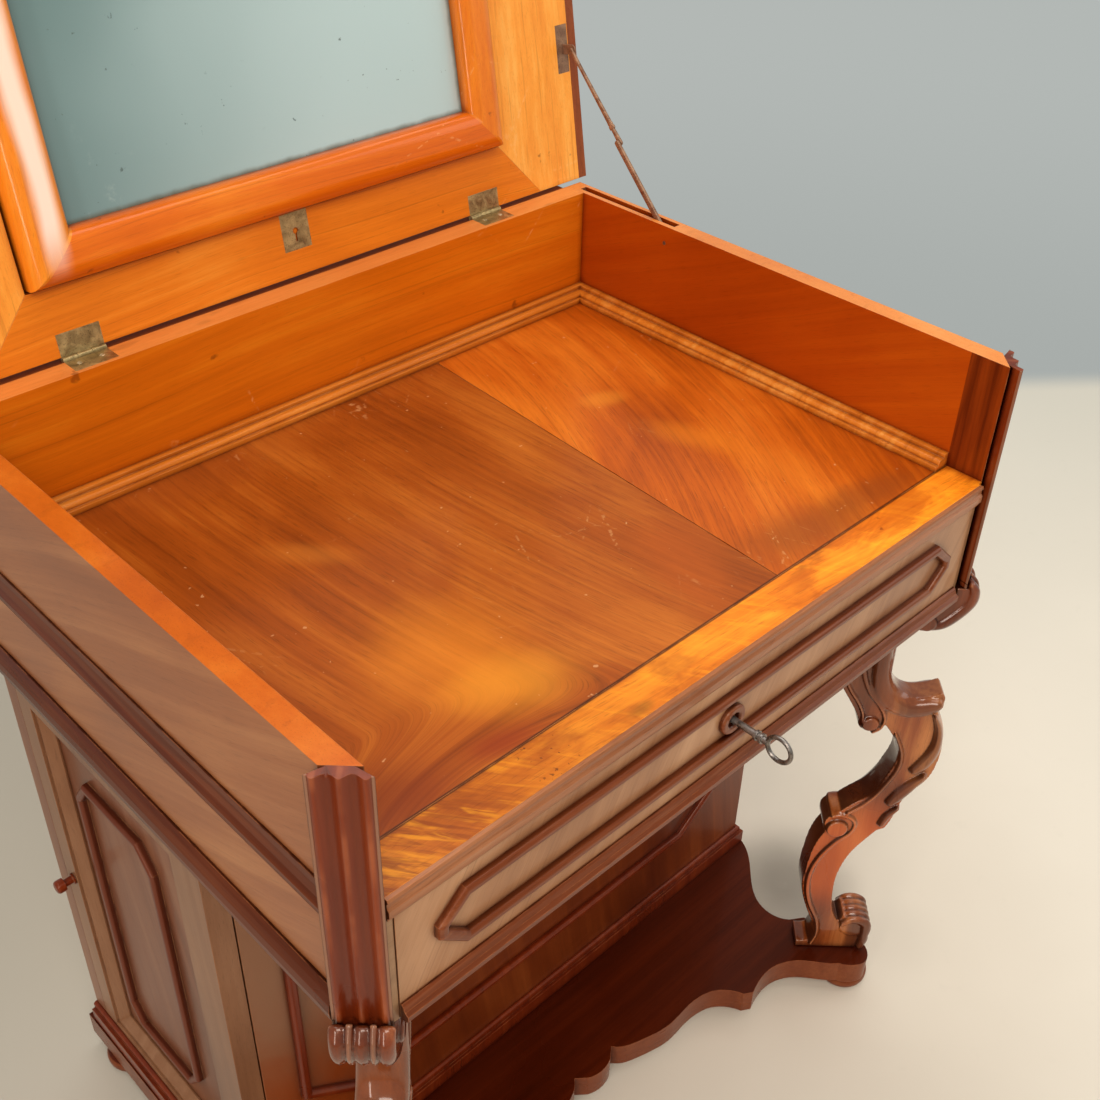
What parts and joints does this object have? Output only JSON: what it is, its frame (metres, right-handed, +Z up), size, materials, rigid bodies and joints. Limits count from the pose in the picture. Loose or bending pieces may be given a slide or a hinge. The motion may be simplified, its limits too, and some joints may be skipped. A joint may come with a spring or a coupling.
{
  "type": "dressing table",
  "caption": "Lift-top dressing table: shallow mirrored-lid case with a drawer on scrolled front legs, a shaped platform and a rear cupboard with a side door.",
  "frame": {"origin": "on the floor under the middle of the piece as it stands with its lid open", "axes": "+X along the width to the right of someone facing the drawer, -Y towards them, +Z up"},
  "size_m": [0.789, 0.7258, 1.4071],
  "materials": {
    "walnut_side": "glossy french-polished walnut",
    "honey_rail": "satin honey-coloured fruitwood",
    "walnut_well": "satin figured walnut with scratches",
    "walnut_well_moulding": "satin",
    "walnut_strip": "satin golden walnut crossband",
    "walnut_face": "glossy french-polished walnut veneer",
    "walnut_dark": "glossy dark walnut",
    "walnut_carved": "glossy carved walnut",
    "walnut_platform": "glossy dark walnut",
    "secondary_wood": "matte oiled",
    "mirror_wood": "glossy fruitwood cushion",
    "mirror_glass": "old foxed silvering",
    "aged_brass": "aged",
    "rusty_iron": "rust-brown",
    "key_steel": "worn steel",
    "knob_wood": "turned dark wood"
  },
  "bodies": {
    "case": {"side_left": "walnut_side", "side_right": "walnut_side", "back_board": "honey_rail", "well_board_left": "walnut_well", "well_board_right": "walnut_well", "well_moulding": "walnut_well_moulding", "front_strip": "walnut_strip", "face_frame": "walnut_face", "front_moulding": "walnut_dark", "case_bottom": "secondary_wood", "drawer_guides": "secondary_wood", "side_mouldings_left": "walnut_dark", "side_mouldings_right": "walnut_dark", "pilaster_left": "walnut_carved", "pilaster_right": "walnut_carved", "corner_bracket_left": "walnut_carved", "corner_bracket_right": "walnut_carved", "leg_left": "walnut_carved", "leg_right": "walnut_carved", "platform": "walnut_platform", "feet": "walnut_platform", "cabinet_front": "walnut_face", "cabinet_front_moulding": "walnut_dark", "door_surround": "walnut_face", "door_pivots": "rusty_iron", "cabinet_side_right": "walnut_face", "cabinet_side_moulding": "walnut_dark", "cabinet_back": "secondary_wood", "cabinet_shelf": "secondary_wood", "base_moulding": "walnut_dark", "case_hinge_leaves": "aged_brass", "stay_foot_pin": "rusty_iron"},
    "lid": {"lid_rail_rear": "honey_rail", "lid_rail_front": "honey_rail", "lid_stile_left": "honey_rail", "lid_stile_right": "honey_rail", "lid_panel": "secondary_wood", "lid_moulding": "walnut_dark", "lid_apron": "walnut_face", "lid_hinge_leaves": "aged_brass", "mirror_lock_plate": "aged_brass", "mirror_pins": "aged_brass", "stay_plate": "rusty_iron"},
    "mirror": {"mirror_frame": "mirror_wood", "mirror_glass": "mirror_glass", "mirror_back": "secondary_wood"},
    "stay_lower": {"stay_lower_arm": "rusty_iron"},
    "stay_upper": {"stay_upper_arm": "rusty_iron"},
    "drawer": {"drawer_front": "walnut_face", "drawer_octagon": "walnut_dark", "drawer_plinth": "walnut_dark", "drawer_box": "secondary_wood", "drawer_floor": "secondary_wood", "drawer_lock": "rusty_iron", "escutcheon": "walnut_dark"},
    "key": {"key": "key_steel"},
    "bolt": {"lock_bolt": "rusty_iron"},
    "door": {"door_frame": "walnut_face", "door_panel": "walnut_face"},
    "knob": {"door_knob": "knob_wood"}
  },
  "joints": [
    {"name": "lid_hinge", "type": "hinge", "parent": "case", "child": "lid", "pos_m": [0, 0.2489, 0.842], "axis": [1, 0, 0], "range_deg": [0, 99.5]},
    {"name": "mirror_pivot", "type": "hinge", "parent": "lid", "child": "mirror", "pos_m": [0, 0.33281, 1.32224], "axis": [1, 0, 0], "range_deg": [-40, 0]},
    {"name": "stay_foot", "type": "hinge", "parent": "case", "child": "stay_lower", "pos_m": [0.359, 0.1032, 0.8236], "axis": [1, 0, 0], "range_deg": [-43.3, 0]},
    {"name": "stay_head", "type": "hinge", "parent": "lid", "child": "stay_upper", "pos_m": [0.361, 0.25895, 0.98206], "axis": [1, 0, 0], "range_deg": [0, 35.2]},
    {"name": "drawer_slide", "type": "slide", "parent": "case", "child": "drawer", "axis": [0, -1, 0], "range_m": [0, 0.32]},
    {"name": "key_turn", "type": "hinge", "parent": "drawer", "child": "key", "pos_m": [0, -0.2971, 0.657], "axis": [0, -1, 0], "range_deg": [0, 182]},
    {"name": "bolt_throw", "type": "slide", "parent": "drawer", "child": "bolt", "axis": [0, 0, 1], "range_m": [0, 0.008]},
    {"name": "door_swing", "type": "hinge", "parent": "case", "child": "door", "pos_m": [-0.3575, -0.0741, 0.052], "axis": [0, 0, 1], "range_deg": [0, 100]},
    {"name": "knob_turn", "type": "hinge", "parent": "door", "child": "knob", "pos_m": [-0.3635, 0.2059, 0.318], "axis": [1, 0, 0], "range_deg": [0, 90]}
  ],
  "couplings": [
    {"joint": "stay_foot", "follows": "lid_hinge", "ratio": -0.43226},
    {"joint": "stay_head", "follows": "lid_hinge", "ratio": 0.3506},
    {"joint": "key_turn", "follows": "bolt_throw", "rad_per_m": 392.7}
  ]
}
